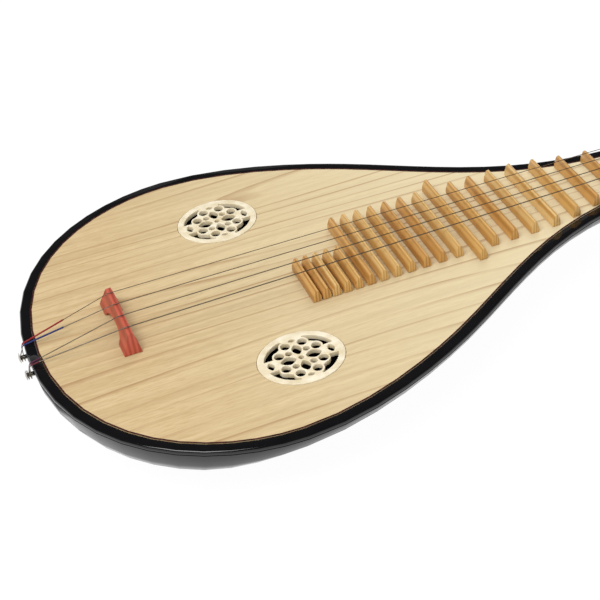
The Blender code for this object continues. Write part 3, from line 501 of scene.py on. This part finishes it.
# %% Nickel
nickel, tree, shader = new_material("Polished nickel plate")
scuffs = add(tree, "ShaderNodeTexNoise", {"Vector": stretched(tree, "x", 0.4 * MM, 3),
                                          "Scale": 1.0, "Detail": 3.0})
shade = add(tree, "ShaderNodeMapRange", {0: scuffs.outputs["Fac"], 1: 0.3, 2: 0.7,
                                         3: 0.14, 4: 0.3})
tint = add(tree, "ShaderNodeValToRGB", {0: scuffs.outputs["Fac"]})
tint.color_ramp.elements[0].color = linear(0xA8A297)
tint.color_ramp.elements[1].color = linear(0xD2CDC2)
tree.links.new(tint.outputs[0], shader.inputs["Base Color"])
tree.links.new(shade.outputs[0], shader.inputs["Roughness"])
shader.inputs["Metallic"].default_value = 1.0
print("nickel is plated")

# %% [markdown]
# ## Strings
#
# The strings are steel wound with steel, a dull grey line with a fine spiral.
# Where they pass over the tail they are wound with silk instead, red, blue and
# two shades of plum. One material holds both, and changes where the string
# leaves its silk. Along the spiral, steel and silk alike are painted lighter on
# each turn and darker in each groove: painted light and painted shade.

# %% Strings

# Real windings lie closer than 0.2 mm; these are drawn wider, so that they show
WINDING_SPACING = 0.45 * MM
SILK_START = string_end.x - 59 * MM


def string_material(name, silk, silk_end):
    """Make steel wire whose tail end, up to silk_end, is wound with silk."""
    material, tree, shader = new_material(name)
    place = add(tree, "ShaderNodeTexCoord")
    spiral_at = stretched(tree, "y", WINDING_SPACING / WAVE_PERIOD, 4)
    spiral = add(tree, "ShaderNodeTexWave", {"Vector": spiral_at, "Scale": 1.0},
                 bands_direction="X")
    parts = add(tree, "ShaderNodeSeparateXYZ", {0: place.outputs["Object"]})
    before_end = add(tree, "ShaderNodeMath", {0: parts.outputs["X"], 1: silk_end},
                     operation="LESS_THAN")
    after_start = add(tree, "ShaderNodeMath", {0: parts.outputs["X"], 1: SILK_START},
                      operation="GREATER_THAN")
    sleeve = add(tree, "ShaderNodeMath", {0: before_end.outputs[0], 1: after_start.outputs[0]},
                 operation="MULTIPLY")
    # Painted light and painted shade: along the spiral each colour swings from a darker copy in the
    # grooves to a lighter copy on the turns
    steel = add(tree, "ShaderNodeMixRGB", {0: spiral.outputs["Fac"], 1: linear(0x6E675C),
                                           2: linear(0xA39B8E)})
    thread = add(tree, "ShaderNodeMixRGB", {0: spiral.outputs["Fac"], 1: linear(silk[0]),
                                            2: linear(silk[1])})
    colour = add(tree, "ShaderNodeMixRGB", {0: sleeve.outputs[0], 1: steel.outputs[0],
                                            2: thread.outputs[0]})
    metal = add(tree, "ShaderNodeMath", {0: 1.0, 1: sleeve.outputs[0]}, operation="SUBTRACT")
    rough = add(tree, "ShaderNodeMapRange", {0: sleeve.outputs[0], 1: 0.0, 2: 1.0,
                                             3: 0.28, 4: 0.75})
    relief = add(tree, "ShaderNodeBump", {"Strength": 0.5, "Distance": 0.05 * MM,
                                          "Height": spiral.outputs["Fac"]})
    tree.links.new(colour.outputs[0], shader.inputs["Base Color"])
    tree.links.new(metal.outputs[0], shader.inputs["Metallic"])
    tree.links.new(rough.outputs[0], shader.inputs["Roughness"])
    tree.links.new(relief.outputs[0], shader.inputs["Normal"])
    return material


# Each string's silk as two colours, the darker painted shade in the grooves and the lighter
# painted light on the turns, and where its silk ends, in millimetres from the bridge
SILKS = {"string_1": ((0x7C1418, 0xB0282C), -35), "string_2": ((0x141F4E, 0x2C3F86), -36),
         "string_3": ((0x3E1430, 0x6E2A50), -53), "string_4": ((0x4A1622, 0x7A2C3A), -54)}
string_finish = {}
for string_name, (silk, silk_end_mm) in SILKS.items():
    string_finish[string_name] = string_material(f"Wound steel {string_name}", silk,
                                                 string_end.x + silk_end_mm * MM)
print(len(string_finish), "strings are wound")

# %% [markdown]
# ## Softened edges
#
# A maker breaks every arris with a scraper, so no edge on the instrument is
# knife sharp. Each solid is copied, its loose triangles are merged, its sharp
# edges are bevelled by the width that the real one has, and its round faces are
# shaded smooth. A copy may also be slimmed, where the solid is stouter than the
# real piece. It rides where the solid rides and stands for it.

# %% A helper that finishes a solid
MERGE_DISTANCE = 0.002 * MM
FLAT_DEGREES = 0.2


def settle(work, name, material, body, stands_for, crease):
    """Turn a bmesh into a finished piece that rides on a body and stands for a node."""
    mesh = bpy.data.meshes.new(name)
    work.to_mesh(mesh)
    work.free()
    mesh.materials.append(material)
    mesh.shade_smooth()
    mesh.set_sharp_from_angle(angle=math.radians(crease))
    piece = bpy.data.objects.new(name, mesh)
    bpy.context.scene.collection.objects.link(piece)
    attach(piece, body)
    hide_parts(stands_for)
    return piece


def dress(node_name, material, edge_mm=0.0, crease=35, flat=True, slim_mm=0.0):
    """Copy a solid, slim it where its solid is stout, soften its edges and finish it."""
    node = frame["nodes"][node_name]
    work = bmesh.new()
    work.from_mesh(node.data)
    bmesh.ops.remove_doubles(work, verts=work.verts, dist=MERGE_DISTANCE)
    if flat:
        bmesh.ops.dissolve_limit(work, angle_limit=math.radians(FLAT_DEGREES), verts=work.verts,
                                 edges=work.edges)
    if slim_mm:
        work.normal_update()
        for vert in work.verts:
            vert.co -= vert.normal * slim_mm * MM
    if edge_mm:
        sharp = [edge for edge in work.edges
                 if len(edge.link_faces) == 2 and edge.calc_face_angle(0) > math.radians(crease)]
        bmesh.ops.bevel(work, geom=sharp, offset=edge_mm * MM, offset_type="OFFSET", segments=2,
                        profile=0.5, affect="EDGES", clamp_overlap=True, material=-1)
    for face in work.faces:
        face.material_index = 0
    settle(work, f"{node_name}_dressed", material, node["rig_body"], node_name, crease)


print("ready to dress", len(frame["nodes"]), "solids")

# %% [markdown]
# ## Body, board and rim
#
# The back keeps its carved form and only has its facets shaded as one surface.
# The rim is a strip of lacquered hardwood, so its upper arris gets the small
# round that draws a bright line round the instrument.

# %% Body, board and rim
dress("back_shell", lacquer, flat=False, crease=40)
dress("neck", lacquer, flat=False, crease=40)
dress("soundboard", paulownia)
for rim in ("rim_left", "rim_right"):
    dress(rim, lacquer, 0.35, crease=30)
print("the body is dressed")

# %% [markdown]
# ## The line inside the rim
#
# A thin dark red line of veneer lies between the rim and the board. It is made
# by insetting the board's own top face, keeping the narrow border that the
# inset leaves, and giving that border a slight thickness. The inset also runs
# round the sound holes, where there is no veneer, so that part is dropped.

# %% The line inside the rim
LINE_WIDTH = 0.9 * MM
LINE_HEIGHT = 0.12 * MM
UPWARD = 0.9
HOLE_REACH = 30 * MM

work = bmesh.new()
work.from_mesh(frame["nodes"]["soundboard"].data)
bmesh.ops.remove_doubles(work, verts=work.verts, dist=MERGE_DISTANCE)
others = [face for face in work.faces if face.normal.z <= UPWARD]
bmesh.ops.delete(work, geom=others, context="FACES")
border = bmesh.ops.inset_region(work, faces=list(work.faces), thickness=LINE_WIDTH,
                                use_boundary=True, use_even_offset=True)["faces"]
hole_middles = []
for rosette in ("rosette_left", "rosette_right"):
    low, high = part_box(rosette)
    hole_middles.append((low + high) / 2)
keep = set()
for face in border:
    middle = face.calc_center_median()
    if min((middle.xy - hole.xy).length for hole in hole_middles) > HOLE_REACH:
        keep.add(face)
unwanted = [face for face in work.faces if face not in keep]
bmesh.ops.delete(work, geom=unwanted, context="FACES")
raised = bmesh.ops.extrude_face_region(work, geom=list(work.faces))
lifted = [item for item in raised["geom"] if isinstance(item, bmesh.types.BMVert)]
bmesh.ops.translate(work, vec=(0, 0, LINE_HEIGHT), verts=lifted)
bmesh.ops.recalc_face_normals(work, faces=work.faces)
line_mesh = bpy.data.meshes.new("rim_line")
work.to_mesh(line_mesh)
work.free()
line_mesh.materials.append(veneer)
rim_line = bpy.data.objects.new("rim_line", line_mesh)
bpy.context.scene.collection.objects.link(rim_line)
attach(rim_line, "body")
print("the line has", len(line_mesh.polygons), "faces")

# %% [markdown]
# ## Frets
#
# A fret is a strip of split bamboo: its sides stand upright from the board, then
# slope to a scraped round crest that the string is pressed against. One section
# is extruded along each fret, and neighbours are cut from paler or darker cane.

# %% Frets
FRET_COUNT = 24
FRET_EDGE = 0.25 * MM
FRET_EDGE_DEGREES = 25
# The section as shares of the half width and the height: upright sides, then a gable
FRET_SECTION = ((-1, 0), (1, 0), (0.94, 0.42), (0.46, 0.93),
                (0.2, 1), (-0.2, 1), (-0.46, 0.93), (-0.94, 0.42))


def make_fret(number):
    """Extrude one fret's section along the fret and soften its edges."""
    low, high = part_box(f"fret_{number:02d}")
    middle_x = (low.x + high.x) / 2
    half = (high.x - low.x) / 2
    tall = high.z - low.z
    work = bmesh.new()
    section = [work.verts.new((middle_x + u * half, low.y, low.z + v * tall))
               for u, v in FRET_SECTION]
    face = work.faces.new(section)
    grown = bmesh.ops.extrude_face_region(work, geom=[face])
    moved = [item for item in grown["geom"] if isinstance(item, bmesh.types.BMVert)]
    bmesh.ops.translate(work, vec=(0, high.y - low.y, 0), verts=moved)
    bmesh.ops.recalc_face_normals(work, faces=work.faces)
    edges = [edge for edge in work.edges
             if edge.calc_face_angle(0) > math.radians(FRET_EDGE_DEGREES)]
    bmesh.ops.bevel(work, geom=edges, offset=FRET_EDGE, offset_type="OFFSET", segments=2,
                    profile=0.5, affect="EDGES", clamp_overlap=True, material=-1)
    bmesh.ops.recalc_face_normals(work, faces=work.faces)
    cane = bamboos[(number * 5 + number // 3) % len(bamboos)]
    settle(work, f"bamboo_fret_{number:02d}", cane, "body", f"fret_{number:02d}", 40)


for number in range(1, FRET_COUNT + 1):
    make_fret(number)
print(FRET_COUNT, "frets stand on the board")

# %% [markdown]
# ## Rosettes
#
# A rosette is sawn from one plate with a fret saw: a flower of four petals round
# a small hole, eight lobes beside them, and long crescents out to the ring. A
# flat curve can hold an outline with any number of holes, and its own bevel
# files every edge round, so it is the right start; it is then made a mesh.

# %% Outlines of the openings


def oval(half_length, half_width, centre=(0, 0), steps=16):
    """Return points round an oval."""
    angles = [math.tau * step / steps for step in range(steps)]
    return [(centre[0] + half_length * math.cos(a), centre[1] + half_width * math.sin(a))
            for a in angles]


def petal(centre, half_length, half_width, upright=False, steps=20):
    """Return a petal, an oval drawn in toward both ends."""
    points = []
    for step in range(steps):
        angle = math.tau * step / steps
        u = half_length * math.cos(angle)
        v = half_width * math.sin(angle) * (1 - 0.4 * abs(math.cos(angle)) ** 1.5)
        points.append((centre[0] - v, centre[1] + u) if upright else (centre[0] + u, centre[1] + v))
    return points


def lobe_arc(centre, radius, first, last, steps=8):
    """Return points on the outside of a lobe, between two angles in degrees."""
    angles = [math.radians(first + (last - first) * step / steps) for step in range(steps + 1)]
    return [(centre[0] + radius * math.cos(a), centre[1] + radius * math.sin(a)) for a in angles]


print("a petal is drawn with", len(petal((0, 0), 4, 3)), "points")

# %% The pattern of a rosette

# All in millimetres from the rosette's middle, its long way being the strings' way
RING_WIDTH = 3.6
EYE_RADIUS = 1.5
# Petals and leaves: distance from the middle, half length and half width
LONG_PETAL = (7.0, 4.3, 3.1)
SHORT_PETAL = (6.6, 3.9, 2.7)
END_LEAF = (16.6, 3.0, 1.9)
SIDE_LEAF = (14.2, 2.0, 1.2)
# Lobes: places, the radius of the opening, and the radius outside the bar round it
SIDE_LOBE = (10.3, 5.3)
END_LOBE = (4.7, 11.2)
LOBE_RADIUS = 2.6
LOBE_OUTSIDE = 3.6
SMALL_HOLE = (4.9, 5.3)
SMALL_HOLE_SIZE = (1.9, 1.75)
# Crescents: angles in degrees along the ring, and back round the two lobes
CRESCENT_START = 15
CRESCENT_END = 72
CRESCENT_STEPS = 16
ROUND_END_LOBE = (76, -12)
ROUND_SIDE_LOBE = (84, -20)


def rosette_openings(half_length, half_width):
    """Return the openings of a rosette."""
    openings = [oval(EYE_RADIUS, EYE_RADIUS)]
    for sign in (1, -1):
        for (away, half_long, half_wide), upright in ((LONG_PETAL, False), (END_LEAF, True)):
            openings.append(petal((sign * away, 0), half_long, half_wide, upright))
        for (away, half_long, half_wide), upright in ((SHORT_PETAL, True), (SIDE_LEAF, False)):
            openings.append(petal((0, sign * away), half_long, half_wide, upright))
    crescent = []
    for step in range(CRESCENT_STEPS + 1):
        angle = math.radians(CRESCENT_START
                             + (CRESCENT_END - CRESCENT_START) * step / CRESCENT_STEPS)
        crescent.append(((half_length - RING_WIDTH) * math.cos(angle),
                         (half_width - RING_WIDTH) * math.sin(angle)))
    crescent += lobe_arc(END_LOBE, LOBE_OUTSIDE, *ROUND_END_LOBE)
    crescent += lobe_arc(SIDE_LOBE, LOBE_OUTSIDE, *ROUND_SIDE_LOBE)
    for sign_x in (1, -1):
        for sign_y in (1, -1):
            for lobe in (SIDE_LOBE, END_LOBE):
                openings.append(oval(LOBE_RADIUS, LOBE_RADIUS,
                                     (sign_x * lobe[0], sign_y * lobe[1])))
            openings.append(oval(*SMALL_HOLE_SIZE, (sign_x * SMALL_HOLE[0], sign_y * SMALL_HOLE[1])))
            openings.append([(sign_x * u, sign_y * v) for u, v in crescent])
    return openings


print("a rosette has", len(rosette_openings(23, 20)), "openings")

# %% Saw both rosettes
ROSETTE_EDGE = 0.3 * MM
RING_STEPS = 72


def make_rosette(node_name):
    """Saw one rosette from a plate the size of its solid and file its edges."""
    low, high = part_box(node_name)
    size = high - low
    half_length = size.x / 2 / MM
    half_width = size.y / 2 / MM
    outlines = [oval(half_length, half_width, steps=RING_STEPS)]
    outlines += rosette_openings(half_length, half_width)
    plate = bpy.data.curves.new(node_name, "CURVE")
    plate.dimensions = "2D"
    plate.fill_mode = "BOTH"
    plate.extrude = size.z / 2 - ROSETTE_EDGE
    plate.bevel_depth = ROSETTE_EDGE
    plate.bevel_resolution = 2
    plate.offset = -ROSETTE_EDGE
    for outline in outlines:
        spline = plate.splines.new("POLY")
        spline.points.add(len(outline) - 1)
        spline.use_cyclic_u = True
        for point, (u, v) in zip(spline.points, outline):
            point.co = (u * MM, v * MM, 0, 1)
    sawn = bpy.data.objects.new("sawn_plate", plate)
    bpy.context.scene.collection.objects.link(sawn)
    bpy.context.view_layer.update()
    depsgraph = bpy.context.evaluated_depsgraph_get()
    mesh = bpy.data.meshes.new_from_object(sawn.evaluated_get(depsgraph))
    bpy.data.objects.remove(sawn)
    bpy.data.curves.remove(plate)
    work = bmesh.new()
    work.from_mesh(mesh)
    bpy.data.meshes.remove(mesh)
    bmesh.ops.remove_doubles(work, verts=work.verts, dist=MERGE_DISTANCE)
    bmesh.ops.translate(work, vec=(low + high) / 2, verts=work.verts)
    bmesh.ops.recalc_face_normals(work, faces=work.faces)
    piece = settle(work, f"bone_{node_name}", bone, "body", node_name, 50)
    print(node_name, "has", len(piece.data.polygons), "faces")


for rosette in ("rosette_left", "rosette_right"):
    make_rosette(rosette)

# %% [markdown]
# ## Bridge and nut
#
# The bridge is carved from one block with scooped faces and its arrises are
# broken with a scraper. The nut is filed from the same bone as the rosettes.

# %% Bridge and nut
dress("bridge", redwood, 0.4, crease=40)
dress("nut", bone, 0.4)
print("bridge and nut are dressed")

# %% [markdown]
# ## Inside the box
#
# Through the rosettes one looks into the box at raw spruce: three braces, the
# tail block and the sound post. They stay as sawn.

# %% Inside the box
for inner in ("brace_tail", "brace_middle", "brace_neck", "tail_block", "sound_post"):
    dress(inner, spruce, 0.2)
print("inner pieces are dressed")

# %% [markdown]
# ## Head, pegs and strings
#
# The pegbox is lacquered with the back. Each peg is turned from rosewood with
# a fluted handle for the fingers and a bone button on its end, and the pegs
# ride on their own bodies, so they turn. The strings grow thicker from the
# first to the fourth, and like the pins they are slimmer than their solids.

# %% Head, pegs and strings
STRING_COUNT = 4
STRING_SLIM_MM = 0.06
STRING_SLIM_STEP_MM = 0.02
PIN_SLIM_MM = 0.4

dress("pegbox", lacquer, 0.6, crease=30)
dress("head_ornament", bone, 0.4, crease=30)
for number in range(1, STRING_COUNT + 1):
    dress(f"peg_{number}", rosewood, 0.25, crease=50)
    dress(f"peg_cap_{number}", bone, 0.2, crease=50)
    dress(f"string_{number}", string_finish[f"string_{number}"], flat=False,
          crease=70, slim_mm=STRING_SLIM_MM + STRING_SLIM_STEP_MM * number)
for pin in ("tail_pin_1", "tail_pin_2"):
    dress(pin, nickel, 0.2, crease=40, slim_mm=PIN_SLIM_MM)
print("head, pegs and strings are dressed")

# %% [markdown]
# ## The size stays
# Softening edges only takes material away, so the dressed instrument still
# fits the box of its solids. The size of the dressed instrument is printed. Both boxes are written
# down to be compared.

# %% Print the dressed size and finish
low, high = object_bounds()
print("visual size in mm:", [round(value / MM, 1) for value in high - low])
